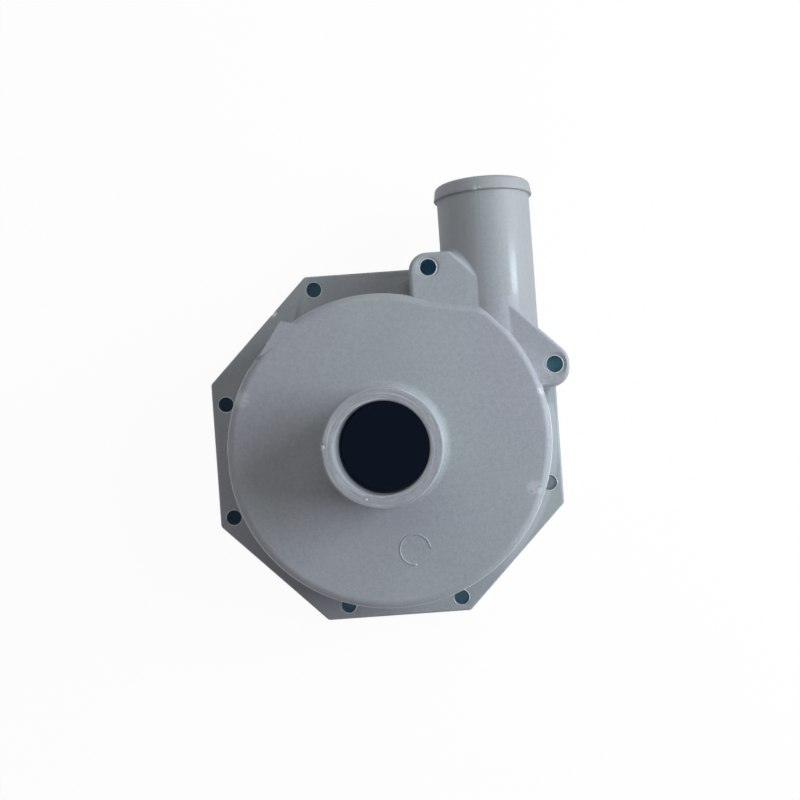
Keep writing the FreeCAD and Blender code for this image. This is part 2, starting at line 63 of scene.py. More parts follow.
camera_data = bpy.data.cameras.new("camera")
camera_data.sensor_width = SENSOR_WIDTH
camera_data.lens = FOCAL_PIXELS / PICTURE_WIDTH * SENSOR_WIDTH
camera_data.shift_x, camera_data.shift_y = VIEW_SHIFT
camera_data.clip_start = 0.01
camera_data.clip_end = 20
camera = bpy.data.objects.new("camera", camera_data)
camera.location = CAMERA_PLACE
camera.rotation_euler = (0, 0, -HOUSING_TURN)
bpy.context.collection.objects.link(camera)
bpy.context.scene.camera = camera
print(f"lens {camera_data.lens:.1f} mm, {CAMERA_PLACE[2] * 100:.0f} cm above the floor")

# %% [markdown]
# ## Sums in a material
#
# A material is a tree of nodes, and a sum in it is a Math node. Wiring those by hand hides the sum, so
# a small class wraps one output socket and lets Python's own operators add the nodes. Every other
# node comes from one method, which sets the node's settings first and then fills or links its sockets.
# Geometry Nodes trees take the same Math nodes, so the class serves them too.


# %% A socket that can be added and multiplied
class Signal:
    """One output socket of a node tree, or the bare tree before its first node."""

    def __init__(self, tree, socket=None):
        self.tree = tree
        self.socket = socket

    def node(self, kind, settings=None, sockets=None, output=0):
        """Adds a node of any type and returns the signal of one of its outputs."""
        made = self.tree.nodes.new(kind)
        for name, value in (settings or {}).items():
            setattr(made, name, value)
        for name, value in (sockets or {}).items():
            if isinstance(value, Signal):
                self.tree.links.new(value.socket, made.inputs[name])
            else:
                made.inputs[name].default_value = value
        return Signal(self.tree, made.outputs[output] if made.outputs else None)

    def other(self, output):
        """Another output of the same node."""
        return Signal(self.tree, self.socket.node.outputs[output])

    def maths(self, operation, first, second=0.0, clamp=False):
        """Adds one Math node."""
        settings = {"operation": operation, "use_clamp": clamp}
        return self.node("ShaderNodeMath", settings, {0: first, 1: second})

    def __add__(self, other):
        return self.maths("ADD", self, other)

    def __sub__(self, other):
        return self.maths("SUBTRACT", self, other)

    def __rsub__(self, other):
        return self.maths("SUBTRACT", other, self)

    def __mul__(self, other):
        return self.maths("MULTIPLY", self, other)

    def __truediv__(self, other):
        return self.maths("DIVIDE", self, other)

    def __pow__(self, other):
        return self.maths("POWER", self, other)

    def __abs__(self):
        return self.maths("ABSOLUTE", self)

    __radd__ = __add__

    def clamped(self):
        """The value, held between 0 and 1."""
        return self.maths("ADD", self, 0.0, clamp=True)

    def above(self, level, softness):
        """1 where the value is above a level, 0 below it, with a soft step between."""
        sockets = {"Value": self, "From Min": level - softness, "From Max": level + softness}
        return self.node("ShaderNodeMapRange", {"interpolation_type": "SMOOTHSTEP"}, sockets)

    def below(self, level, softness):
        """1 where the value is below a level."""
        return 1 - self.above(level, softness)


print("a signal knows", [name for name in vars(Signal) if not name.startswith("_")])


# %% Blends, noise and distances
def mixed(factor, first, second):
    """Blends two colours by a factor."""
    sockets = {0: factor, 6: first, 7: second}
    return factor.node("ShaderNodeMix", {"data_type": "RGBA"}, sockets, output=2)


def noise_over(place, scale, detail=2.0):
    """A soft random value that changes from place to place, and is the same at every run."""
    sockets = {"Vector": place, "Scale": scale, "Detail": detail}
    return place.node("ShaderNodeTexNoise", sockets=sockets)


def distance_to(place, centre):
    """How far a place is from a fixed point, in metres."""
    settings = {"operation": "DISTANCE"}
    return place.node("ShaderNodeVectorMath", settings, {0: place, 1: centre}, output="Value")


def new_material(name):
    """An empty material and its tree as a signal."""
    material = bpy.data.materials.new(name)
    material.use_nodes = True
    material.node_tree.nodes.clear()
    return material, Signal(material.node_tree)


def four_times(points):
    """The points, and the same points turned round the axis by one, two and three quarters."""
    turned_points = []
    for quarter in range(4):
        cosine = math.cos(quarter * math.pi / 2)
        sine = math.sin(quarter * math.pi / 2)
        for x, y in points:
            turned_points.append((x * cosine - y * sine, x * sine + y * cosine))
    return turned_points


print("one point, four times:", [(round(x), round(y)) for x, y in four_times([(1, 0)])])

# %% [markdown]
# ## Floor and shade sheet
#
# The background is plain white. The floor is a pale matt sheet that takes the
# housing's shadow, and to the camera it also glows at strength 1, which is white. A dark blue sheet of
# painted shade, cut a little smaller than the flange, lies under the housing. It can't be seen from
# outside, but it is what the eight screw holes and the nozzle look down on: the shade inside them.

# %% Shapes of the floor and the shade sheet
FLOOR_SIZE = 3.0
FLOOR_GAP = 0.0004
SHADE_SHEET_GAP = 0.0002
SHADE_SHEET_HALF_WIDTH = 0.0738
OCTAGON_CORNER = SHADE_SHEET_HALF_WIDTH * math.tan(math.radians(22.5))


def flat_sheet(name, corners, height):
    """A one-faced sheet that faces up."""
    mesh = bpy.data.meshes.new(name)
    mesh.from_pydata([(x, y, height) for x, y in corners], [], [range(len(corners))])
    sheet = bpy.data.objects.new(name, mesh)
    bpy.context.collection.objects.link(sheet)
    return sheet


half = FLOOR_SIZE / 2
floor = flat_sheet("floor", [(-half, -half), (half, -half), (half, half), (-half, half)], -FLOOR_GAP)
card_side = [(SHADE_SHEET_HALF_WIDTH, -OCTAGON_CORNER), (SHADE_SHEET_HALF_WIDTH, OCTAGON_CORNER)]
card_corners = four_times(card_side)
card = flat_sheet("card", card_corners, -SHADE_SHEET_GAP)
print("card corners", len(card_corners))

# %% [markdown]
# ## Paint for the floor and the shade sheet
#
# Seen from above, the nozzle shows a very dark blue, and the holes a dark blue-green, darker at the
# left, so the sheet's painted shade is greener towards its edge and darker at the left. Light slips in
# under the right edge, so the sheet is painted pale there, as painted light, and the holes of the two
# ears have a spot of their own, painted paler under one ear and darker under the other. No other light
# would reach it, so it glows very faintly to the camera and to reflections, as the floor does: that
# glow is painted light.

# %% Paint of the floor
FLOOR_COLOUR = (0.92, 0.92, 0.92, 1)
FLOOR_GLOW = 0.95
WHITE = (1, 1, 1, 1)


def seen_directly(tree):
    """1 for the camera and for what shows in a reflection or through glass, 0 for soft light."""
    camera_ray = tree.node("ShaderNodeLightPath", output="Is Camera Ray")
    mirrored = camera_ray.other("Is Glossy Ray") + camera_ray.other("Is Transmission Ray")
    return (camera_ray + mirrored).clamped()


def glow_where_seen(tree, matt_colour, glow_colour, share):
    """Ends a material as a matt surface that glows only where it is seen directly."""
    matt = tree.node("ShaderNodeBsdfDiffuse", sockets={"Color": matt_colour})
    glow = tree.node("ShaderNodeEmission", sockets={"Color": glow_colour, "Strength": 1.0})
    factor = seen_directly(tree) * share
    seen = tree.node("ShaderNodeMixShader", sockets={0: factor, 1: matt, 2: glow})
    tree.node("ShaderNodeOutputMaterial", sockets={"Surface": seen})


floor_paint, tree = new_material("pale_floor")
glow_where_seen(tree, FLOOR_COLOUR, WHITE, FLOOR_GLOW)
floor.data.materials.append(floor_paint)
print("floor glows to the camera by", FLOOR_GLOW)

# %% Paint of the shade sheet: painted shade, painted light spots and a faint glow
# Painted shade colours seen through the bore and the holes, with spots of painted light and shade
# below.
SHEET_NAVY_SHADE = (0.0044, 0.0075, 0.0144, 1)
SHEET_TEAL_SHADE = (0.034, 0.070, 0.092, 1)
SHEET_DEEPER_SHADE = (0.008, 0.014, 0.024, 1)
SHEET_NAVY_RADIUS = 0.058
SHADE_EDGE = -0.025
SHADE_SOFTNESS = 0.050
SPOT_RADIUS = 0.006
PAINT_SOFTNESS = 0.002
SHEET_LIGHT_AND_SHADE_SPOTS = [
    ((0.0713, -0.0226, 0.0), (0.17, 0.20, 0.235, 1)),
    ((0.0693, 0.0275, 0.0), (0.071, 0.147, 0.193, 1)),
    ((0.0220, 0.0693, 0.0), (0.017, 0.047, 0.074, 1)),
]

card_paint, tree = new_material("blue_card")
place = tree.node("ShaderNodeTexCoord", output="Object")
from_middle = tree.node("ShaderNodeVectorMath", {"operation": "LENGTH"}, {0: place}, output="Value")
to_right = tree.node("ShaderNodeSeparateXYZ", sockets={0: place})
sheet_hole_shade = mixed(to_right.above(SHADE_EDGE, SHADE_SOFTNESS), SHEET_DEEPER_SHADE, SHEET_TEAL_SHADE)
card_colour = mixed(from_middle.above(SHEET_NAVY_RADIUS, PAINT_SOFTNESS), SHEET_NAVY_SHADE, sheet_hole_shade)
# Spots of painted light and painted shade under the right edge's hole and the two ears' holes.
for centre, colour in SHEET_LIGHT_AND_SHADE_SPOTS:
    in_painted_spot = distance_to(place, centre).below(SPOT_RADIUS, PAINT_SOFTNESS)
    card_colour = mixed(in_painted_spot, card_colour, colour)
# Painted light: the sheet glows with its own painted colours where it is seen directly.
glow_where_seen(tree, card_colour, card_colour, 1.0)
card.data.materials.append(card_paint)
print("spots on the card:", len(SHEET_LIGHT_AND_SHADE_SPOTS))

# %% [markdown]
# ## Light
#
# The photograph is lit from a low window at the right: the nozzle throws a long soft shadow to the
# left, and the outlet stub is palest on its right flank. One large lamp does that. A weak lamp above
# the outlet's end lightens the shadows there, and the world fills the rest from all sides. The camera
# and reflections see white studio walls all round, which turn to a dim ceiling overhead, so that the
# upward faces don't mirror a white sky.

# %% The room
WORLD_FILL = (0.213, 0.204, 0.213, 1)
CEILING = (0.22, 0.215, 0.225, 1)
WALL_TOP = 0.5
WALL_SOFTNESS = 0.15

world = bpy.data.worlds.new("studio")
bpy.context.scene.world = world
world.use_nodes = True
world.node_tree.nodes.clear()
tree = Signal(world.node_tree)
fill = tree.node("ShaderNodeBackground", sockets={"Color": WORLD_FILL, "Strength": 1.0})
direction = tree.node("ShaderNodeTexCoord", output="Generated")
upwards = tree.node("ShaderNodeSeparateXYZ", sockets={0: direction}, output="Z")
room = mixed(upwards.above(WALL_TOP, WALL_SOFTNESS), WHITE, CEILING)
walls = tree.node("ShaderNodeBackground", sockets={"Color": room, "Strength": 1.0})
lit = tree.node("ShaderNodeMixShader", sockets={0: seen_directly(tree), 1: fill, 2: walls})
tree.node("ShaderNodeOutputWorld", sockets={"Surface": lit})
bpy.context.scene.view_settings.view_transform = "Standard"
print("the walls end", round(math.degrees(math.asin(WALL_TOP))), "degrees up")

# %% The window and the weak lamp
WINDOW_DIRECTION = (math.radians(11), math.radians(28.5))
WINDOW_DISTANCE = 0.85
WINDOW_SIZE = 0.58
WINDOW_POWER = 8.2
WINDOW_COLOUR = (0.90, 0.99, 1.07)
LAMP_DIRECTION = (math.radians(92), math.radians(58))
LAMP_DISTANCE = 1.2
LAMP_SIZE = 0.7
LAMP_POWER = 1.9
LAMP_COLOUR = (1.0, 0.99, 0.98)
TARGET = Vector((0.0, 0.0, 0.03))


def soft_lamp(name, direction, distance, size, power, colour):
    """A square lamp that points at the housing. The direction is its bearing and its elevation."""
    bearing, elevation = direction
    level = math.cos(elevation)
    arm = Vector((level * math.cos(bearing), level * math.sin(bearing), math.sin(elevation)))
    lamp_data = bpy.data.lights.new(name, "AREA")
    lamp_data.size = size
    lamp_data.energy = power
    lamp_data.color = colour
    lamp = bpy.data.objects.new(name, lamp_data)
    lamp.location = TARGET + arm * distance
    lamp.rotation_euler = (-arm).to_track_quat("-Z", "Y").to_euler()
    bpy.context.collection.objects.link(lamp)


soft_lamp("window", WINDOW_DIRECTION, WINDOW_DISTANCE, WINDOW_SIZE, WINDOW_POWER, WINDOW_COLOUR)
soft_lamp("lamp", LAMP_DIRECTION, LAMP_DISTANCE, LAMP_SIZE, LAMP_POWER, LAMP_COLOUR)

# %% [markdown]
# ## The casting's skin
#
# The packed mesh is made of loose triangles, and loose triangles can't be shaded smoothly. The mesh
# itself has to stay as it is, so a copy of it is merged into one skin and stands for it. A skin is
# closed when every edge has a face on each side, which is counted here and again after the marks.

# %% One skin from the loose triangles
MERGE_DISTANCE = 0.000002


def open_edges(mesh):
    """How many edges don't have exactly two faces."""
    return sum(1 for edge in mesh.edges if len(edge.link_faces) != 2)


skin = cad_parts["pump_housing"].data.copy()
skin.name = "casting"
skin.materials.clear()
shell = bmesh.new()
shell.from_mesh(skin)
loose_corners = len(shell.verts)
bmesh.ops.remove_doubles(shell, verts=shell.verts, dist=MERGE_DISTANCE)
print(f"{loose_corners} loose corners became {len(shell.verts)}, with {open_edges(shell)} open edges")

# %% [markdown]
# ## Knocks and chips
#
# Soft aluminium is easily marked in a parts bin. The photograph shows a knock on the nozzle's rim,
# chips on the outlet's bead and on the edges of the drum and the flange, and a dab on the rim's flat.
# Each is real shape: the triangles near it are split until they are fine enough, and their corners are
# then pressed in or raised a little, unevenly, with a noise that is the same at every run.

# %% Split the triangles near a mark
MILLIMETRE = 0.001
FINE_EDGE = 0.35
ROUNDS = 6
SLIVER = 0.0004
SPLIT_MARGIN = 1.2


def can_be_split(edge):
    """A triangle that is nearly a line can't be split cleanly, so its edges stay whole."""
    return all(face.calc_area() > SLIVER * edge.calc_length() ** 2 for face in edge.link_faces)


def gap_to(edge, centre):
    """The distance from a point to the nearest point of an edge."""
    first, second = (corner.co for corner in edge.verts)
    along = second - first
    part = (centre - first).dot(along) / along.length_squared
    return (first + along * min(max(part, 0), 1) - centre).length


def split_near(centre, reach):
    """Halves the edges within reach of a point, again and again, until they are fine."""
    for _ in range(ROUNDS):
        long_edges = []
        for edge in shell.edges:
            if edge.calc_length() > FINE_EDGE * MILLIMETRE and gap_to(edge, centre) < reach:
                if can_be_split(edge):
                    long_edges.append(edge)
        if not long_edges:
            break
        bmesh.ops.subdivide_edges(shell, edges=long_edges, cuts=1)
        bmesh.ops.triangulate(shell, faces=[face for face in shell.faces if len(face.verts) > 3])


print("edges near a mark become shorter than", FINE_EDGE, "mm")

# %% Press the marks into the skin
MEAN_PUSH = 0.65
UNEVEN_PUSH = 0.7
LUMPS_PER_MILLIMETRE = 1.3
MARKS = [
    ("knock on the rim", (-21.9, 2.3, 83.9), 1.9, (0.55, 0.0, -0.45)),
    ("dab on the rim's flat", (-6.9, -18.1, 84.4), 0.7, (0.0, 0.0, 0.18)),
    ("chip on the outlet's bead", (43.4, 98.9, 51.5), 1.7, (0.0, 0.25, -0.30)),
    ("chip on the drum's edge", (63.3, 17.7, 50.2), 1.5, (-0.35, 0.1, -0.25)),
    ("chip on the flange's edge", (-46.0, 60.2, 7.8), 1.8, (0.3, -0.3, -0.3)),
]


def press_mark(place, reach, push):
    """Moves the corners near a place by an uneven push. All in millimetres."""
    centre = Vector(place) * MILLIMETRE
    split_near(centre, reach * SPLIT_MARGIN * MILLIMETRE)
    moved = 0
    for corner in shell.verts:
        away = (corner.co - centre).length / (reach * MILLIMETRE)
        if away < 1:
            lumps = noise.noise(corner.co / MILLIMETRE * LUMPS_PER_MILLIMETRE)
            uneven = MEAN_PUSH + UNEVEN_PUSH * lumps
            corner.co += Vector(push) * MILLIMETRE * (1 - away * away) ** 2 * uneven
            moved += 1
    return moved


for name, place, reach, push in MARKS:
    print(name, "moved", press_mark(place, reach, push), "corners")
print("open edges after the marks:", open_edges(shell))
shell.normal_update()
shell.to_mesh(skin)
shell.free()
casting = bpy.data.objects.new("casting", skin)
bpy.context.collection.objects.link(casting)
print("triangles", len(skin.polygons))

# %% [markdown]
# ## Smooth faces, crisp edges
#
# Edges where two faces meet at more than about thirty degrees stay crisp. Elsewhere large faces lead
# the shading of the corners that they share with a narrow rounding, so that a flat face looks flat
# up to its edge. That is what a Weighted Normal modifier does.

# %% Smooth shading
CRISP_ANGLE = math.radians(31)

for face in skin.polygons:
    face.use_smooth = True
skin.set_sharp_from_angle(angle=CRISP_ANGLE)
weighted = casting.modifiers.new("weighted", "WEIGHTED_NORMAL")
weighted.mode = "FACE_AREA"
weighted.keep_sharp = True
print("crisp edges", sum(1 for edge in skin.edges if edge.use_edge_sharp), "of", len(skin.edges))

# %% [markdown]
# ## Blasted aluminium
#
# Die-cast aluminium comes out of the mould with a thin grey skin, and blasting gives it an even satin
# finish with a fine grain. Its grey isn't quite even: the metal cools faster in some places, which
# leaves faint cloudy patches and a slow drift from blue-grey to green-grey. Fine noise gives the grain,
# coarser noise the clouds, and the coarsest the drift. Deep in the nozzle's bore the skin is painted
# dark, as painted shade, up to a height that rises towards the right. In the sums, right, back and
# height are the X, Y and Z of a place on the object, in metres.

# %% The grey skin
GREY = (0.318, 0.324, 0.358, 1)
GREEN_GREY = (0.306, 0.342, 0.346, 1)
PALE_GREY = (0.392, 0.412, 0.436, 1)
BORE_SHADE_COLOUR = (0.045, 0.060, 0.085, 1)
GRAIN_SCALE = 1500.0
SPECKLE_SCALE = 520.0
CLOUD_SCALE = 30.0
DRIFT_SCALE = 17.0
NOISE_MIDDLE = 0.5
FINE_SHARE = 0.6
GRAIN_STRENGTH = 0.55
CLOUD_STRENGTH = 0.3
BORE_SHADE_RADIUS = 0.0179
BORE_SHADE_TOP = 0.071
BORE_SHADE_TILT = 0.5
SHARP = 0.0002

metal, tree = new_material("blasted_aluminium")
place = tree.node("ShaderNodeTexCoord", output="Object")
right = tree.node("ShaderNodeSeparateXYZ", sockets={0: place})
back = right.other("Y")
height = right.other("Z")
radius = (right ** 2.0 + back ** 2.0) ** 0.5
speckle = noise_over(place, SPECKLE_SCALE)
clouds = noise_over(place, CLOUD_SCALE, 3.0)
drift = noise_over(place, DRIFT_SCALE, 1.0)
grain = noise_over(place, GRAIN_SCALE) * FINE_SHARE + speckle * (1 - FINE_SHARE)
pale_grain = grain.above(NOISE_MIDDLE, 0.16) * GRAIN_STRENGTH
pale_clouds = clouds.above(NOISE_MIDDLE, 0.25) * CLOUD_STRENGTH
drifting_grey = mixed(drift.above(NOISE_MIDDLE, 0.12), GREY, GREEN_GREY)
skin_tone = mixed((pale_grain + pale_clouds).clamped(), drifting_grey, PALE_GREY)
# Painted shade deep in the nozzle's bore, up to a height that rises towards the right.
painted_bore_shade = radius.below(BORE_SHADE_RADIUS, SHARP) * (height - right * BORE_SHADE_TILT).below(BORE_SHADE_TOP, 0.002)
print("nodes for the grey skin:", len(metal.node_tree.nodes))

# %% [markdown]
# ## Scuffs and bare chips
#
# Handling rubs pale scuffs on to edges, and a fresh chip shows bare bright metal. Each is a soft ball
# round a place on the object, broken up by the same noise that gives the speckle.

# %% Scuffs and chips
SCUFF_AND_LIGHT_GREY = (0.47, 0.49, 0.51, 1)
BARE_METAL = (0.80, 0.82, 0.84, 1)
SPOT_EDGE = 1.1
SPOT_FADE = 0.5
BREAK_LEVEL = 0.42
BREAK_SOFTNESS = 0.12
SCUFFS = [
    ((-0.0550, 0.0223, 0.0506), 0.0028),
    ((0.0578, -0.0206, 0.0510), 0.0026),
    ((0.0633, 0.0177, 0.0503), 0.0018),
]
CHIPS = [
    ((-0.0219, 0.0023, 0.0839), 0.0012),
    ((-0.0069, -0.0181, 0.0844), 0.0004),
    ((0.0428, 0.0984, 0.0516), 0.0008),
    ((0.0441, 0.0987, 0.0516), 0.0008),
    ((-0.0460, 0.0602, 0.0078), 0.0014),
]


def marked(spots):
    """1 on any of the spots, each a place and its reach, broken up by the speckle."""
    total = None
    for centre, reach in spots:
        spot = distance_to(place, centre).below(reach * SPOT_EDGE, reach * SPOT_FADE)
        total = spot if total is None else total + spot
    return (total * speckle.above(BREAK_LEVEL, BREAK_SOFTNESS)).clamped()


scuffed = marked(SCUFFS)
tint = mixed(scuffed, skin_tone, SCUFF_AND_LIGHT_GREY)
tint = mixed(marked(CHIPS), tint, BARE_METAL)
# Painted shade deep in the nozzle's bore.
tint = mixed(painted_bore_shade, tint, BORE_SHADE_COLOUR)
print("scuffs", len(SCUFFS), "chips", len(CHIPS))

# %% [markdown]
# ## The outlet stub's finish, with painted shade and painted light
#
# The outlet stub slid out of its mould along its axis, which leaves it smoother and streaked
# lengthwise. The streaks are noise that is stretched along the axis. Its right flank, which the window
# lights, gets a warmer grey and painted shade that darkens it, but for one narrow gloss line near the
# block, which is left lighter as a painted highlight. The left flank gets painted light, a paler grey.

# %% The outlet stub, with painted shade and painted light on its flanks
FLANK_SHADE_GREY = (0.247, 0.228, 0.224, 1)
OUTLET_AXIS = (0.047, 0.0317)
BEAD_REACH = 0.0207
STUB_REACH = 0.0193
BLOCK_END = 0.0565
STUB_START = 0.038
BLOCK_TOP = 0.0490
STREAKS_ACROSS = 420.0
STREAKS_ALONG = 22.0
GLOSS_OFFSET = 0.0088
GLOSS_HALF_WIDTH = 0.0013
GLOSS_END = 0.074
FLANK_START = 0.004
FLANK_SOFTNESS = 0.008
LEFT_FLANK = -0.006
STREAK_STRENGTH = 0.35
FLANK_SHADE_STRENGTH = 0.45
LEFT_LIGHT_STRENGTH = 0.5

across = right - OUTLET_AXIS[0]
axis_gap = (across ** 2.0 + (height - OUTLET_AXIS[1]) ** 2.0) ** 0.5
outlet = axis_gap.below(BEAD_REACH, SHARP) * back.above(BLOCK_END, 0.003)
beside_block = axis_gap.below(STUB_REACH, 0.0001) * back.above(STUB_START, 0.003)
beside_block = beside_block * height.below(BLOCK_TOP, 0.0004)
along = tree.node("ShaderNodeCombineXYZ", sockets={
    "X": right * STREAKS_ACROSS, "Y": back * STREAKS_ALONG, "Z": height * STREAKS_ACROSS})
drawn = noise_over(along, 1.0)
gloss_and_highlight_line = abs(across - GLOSS_OFFSET).below(GLOSS_HALF_WIDTH, 0.0008) * back.below(GLOSS_END, 0.010)
# The gloss line is smoother, and is spared the right flank's painted shade, which leaves a painted
# highlight.
shaded_right_flank = across.above(FLANK_START, FLANK_SOFTNESS) * (1 - gloss_and_highlight_line)
lit_left_flank = across.below(LEFT_FLANK, FLANK_SOFTNESS)
tint = mixed(outlet * drawn.above(0.55, 0.2) * STREAK_STRENGTH, tint, PALE_GREY)
# A warmer grey and painted shade on the right flank that the window lights.
tint = mixed((outlet + beside_block).clamped() * shaded_right_flank * FLANK_SHADE_STRENGTH, tint, FLANK_SHADE_GREY)
# Painted light on the left flank.
tint = mixed(outlet * lit_left_flank * LEFT_LIGHT_STRENGTH, tint, PALE_GREY)
print("gloss line", round(GLOSS_OFFSET / MILLIMETRE, 1), "mm right of the outlet's axis")

# %% [markdown]
# ## The flange's painted light strip and the turned rim
#
# The flange's right strip, beside the drum wall that the window lights, is painted paler, as painted
# light. The nozzle's rim was turned on a lathe: its fine lines run round the axis, so their noise is
# read from the distance to the axis, and changes only slowly with the direction.

# %% Painted light strip and lathe lines
BRIGHT_LINE = (0.56, 0.58, 0.60, 1)
DARK_LINE = (0.20, 0.21, 0.23, 1)
STRIP_RADIUS = 0.0745
STRIP_TOP = 0.0083
STRIP_LEFT = 0.047
STRIP_BACK = 0.0125
RIM_BOTTOM = 0.0833
RIM_RADIUS = 0.0240
LINES_OUTWARD = 2400.0
LINES_ROUND = 1.5
STRIP_LIGHT_STRENGTH = 0.8
BRIGHT_STRENGTH = 0.6
DARK_STRENGTH = 0.5

painted_light_strip = radius.below(STRIP_RADIUS, 0.0009) * height.below(STRIP_TOP, SHARP)
painted_light_strip = painted_light_strip * right.above(STRIP_LEFT, 0.008) * back.below(STRIP_BACK, 0.0012)
# Painted light: the flange's right strip, beside the lit drum wall, is made paler.
tint = mixed(painted_light_strip * STRIP_LIGHT_STRENGTH, tint, SCUFF_AND_LIGHT_GREY)
round_axis = tree.node("ShaderNodeCombineXYZ", sockets={
    "X": radius * LINES_OUTWARD, "Y": right / radius * LINES_ROUND, "Z": back / radius * LINES_ROUND})
turned = noise_over(round_axis, 1.0)
rim = height.above(RIM_BOTTOM, 0.0003) * radius.below(RIM_RADIUS, SHARP)
tint = mixed(rim * turned.above(0.60, 0.05) * BRIGHT_STRENGTH, tint, BRIGHT_LINE)
tint = mixed(rim * turned.below(0.40, 0.05) * DARK_STRENGTH, tint, DARK_LINE)
print("lathe lines start", round(RIM_BOTTOM / MILLIMETRE, 1), "mm up")

# %% [markdown]
# ## Sheen and relief
#
# A blasted casting is rough, so its roughness is high and it is only slightly metallic: the grey skin
# is mostly oxide. Scuffs and the drawn stub are smoother. The grain is also a shallow relief, which a
# Bump node turns into tilted normals, and the lathe lines add theirs on the rim.

# %% The casting's surface
ROUGHNESS = 0.66
METALLIC = 0.15
RELIEF_STRENGTH = 0.35
RELIEF_HEIGHT = 0.0002
LINE_RELIEF = 0.8
SCUFF_SMOOTHING = 0.15
GLOSS_SMOOTHING = 0.16
STREAK_SMOOTHING = 0.08

relief = grain + rim * turned * LINE_RELIEF
bump = tree.node("ShaderNodeBump", sockets={
    "Height": relief, "Strength": RELIEF_STRENGTH, "Distance": RELIEF_HEIGHT})
stub_smoothing = outlet * (gloss_and_highlight_line * GLOSS_SMOOTHING + drawn * STREAK_SMOOTHING)
roughness = ROUGHNESS - scuffed * SCUFF_SMOOTHING - stub_smoothing
surface = tree.node("ShaderNodeBsdfPrincipled", sockets={
    "Base Color": tint, "Metallic": METALLIC, "Roughness": roughness, "Normal": bump})
tree.node("ShaderNodeOutputMaterial", sockets={"Surface": surface})
skin.materials.append(metal)
print("material nodes", len(metal.node_tree.nodes))

# %% [markdown]
# ## Drilled holes
#
# The eight screw holes are drilled after casting. Their walls get a pale, glossy blue-green tint, which
# is
# painted light: it lights these deep, shaded walls by reflection, so that they show a dark blue-green
# when one looks down into them. The bevel at the mouth, the part of the wall that faces up, is painted
# dark and dull, as painted shade. Those faces are picked by their distance from each hole's axis and
# get a second material slot on the same mesh.

# %% The drilled wall: painted light, and painted shade on the bevel
HOLE_LIGHT_TINT = (0.55, 0.74, 0.80, 1)
HOLE_LIGHT_TINT_DARK = (0.40, 0.58, 0.66, 1)
PAINTED_BEVEL_SHADE = (0.045, 0.085, 0.105, 1)
HOLE_STREAK_SCALE = 900.0
FACES_UP = 0.35
WALL_METALLIC = 0.85
WALL_ROUGHNESS = 0.16

drilled, tree = new_material("drilled_wall_painted_light_and_shade")
place = tree.node("ShaderNodeTexCoord", output="Object")
facing = tree.node("ShaderNodeTexCoord", output="Normal")
streaks = noise_over(place, HOLE_STREAK_SCALE)
in_bevel = tree.node("ShaderNodeSeparateXYZ", sockets={0: facing}, output="Z").above(FACES_UP, 0.1)
# Painted light: a pale, glossy tint that lights the deep, shaded walls by reflection.
hole_tint = mixed(streaks.above(NOISE_MIDDLE, 0.2), HOLE_LIGHT_TINT, HOLE_LIGHT_TINT_DARK)
# Painted shade on the bevel that faces up.
hole_tint = mixed(in_bevel, hole_tint, PAINTED_BEVEL_SHADE)
metallic = WALL_METALLIC - in_bevel * 0.7
roughness = WALL_ROUGHNESS + streaks * 0.1 + in_bevel * 0.4
surface = tree.node("ShaderNodeBsdfPrincipled", sockets={
    "Base Color": hole_tint, "Metallic": metallic, "Roughness": roughness})
tree.node("ShaderNodeOutputMaterial", sockets={"Surface": surface})
skin.materials.append(drilled)
print("material slots of the skin:", [material.name for material in skin.materials])

# %% The faces of the eight holes
SCREW_PLACES = [(0.0693, -0.021996), (0.0693, 0.027496)]
MOUTH_RADIUS = 0.0035

hole_places = four_times(SCREW_PLACES)
drilled_faces = 0
for face in skin.polygons:
    corners = [skin.vertices[corner].co for corner in face.vertices]
    for x, y in hole_places:
        if all(math.hypot(corner.x - x, corner.y - y) < MOUTH_RADIUS for corner in corners):
            face.material_index = 1
            drilled_faces += 1
print("faces on the walls of", len(hole_places), "holes:", drilled_faces)

# %% [markdown]
# ## Burrs round the screw holes
#
# A drill leaves a thin bright burr where it breaks the skin, and in the photograph each hole has such
# a pale ring. The ring repeats eight times, so a Geometry Nodes tree makes it: one thin ring, placed on
# eight points, and roughened by a noise that never changes between runs.

# %% The mouths of the holes
FLANGE_TOP = 0.008
EAR_TOP = 0.04945
EAR_HOLES = [(0.021996, 0.0693), (0.0693, 0.027496)]
SAME_PLACE = 0.0005

mouths = []
for x, y in hole_places:
    in_ear = any(math.hypot(x - ear_x, y - ear_y) < SAME_PLACE for ear_x, ear_y in EAR_HOLES)
    mouths.append((x, y, EAR_TOP if in_ear else FLANGE_TOP))
print("mouths of holes in the ears:", sum(1 for mouth in mouths if mouth[2] == EAR_TOP))

# %% Bare metal for thin edges, and a painted highlight along the drum's edge
BURR_SHADE = (0.58, 0.63, 0.66, 1)
BURR_SHINE = (0.78, 0.81, 0.83, 1)
BURR_SPECKLE = 1800.0

bare_and_highlight, tree = new_material("bare_aluminium_and_painted_highlight")
place = tree.node("ShaderNodeTexCoord", output="Object")
burr_noise = noise_over(place, BURR_SPECKLE)
shine = mixed(burr_noise.above(NOISE_MIDDLE, 0.2), BURR_SHADE, BURR_SHINE)
surface = tree.node("ShaderNodeBsdfPrincipled", sockets={
    "Base Color": shine, "Metallic": 0.3, "Roughness": 0.5})
tree.node("ShaderNodeOutputMaterial", sockets={"Surface": surface})
print("bare metal nodes", len(bare_and_highlight.node_tree.nodes))

# %% Start the tree of the burr rings
burr_sizes = {"Radius": 0.00347, "Thickness": 0.00016, "Unevenness": 0.00012}


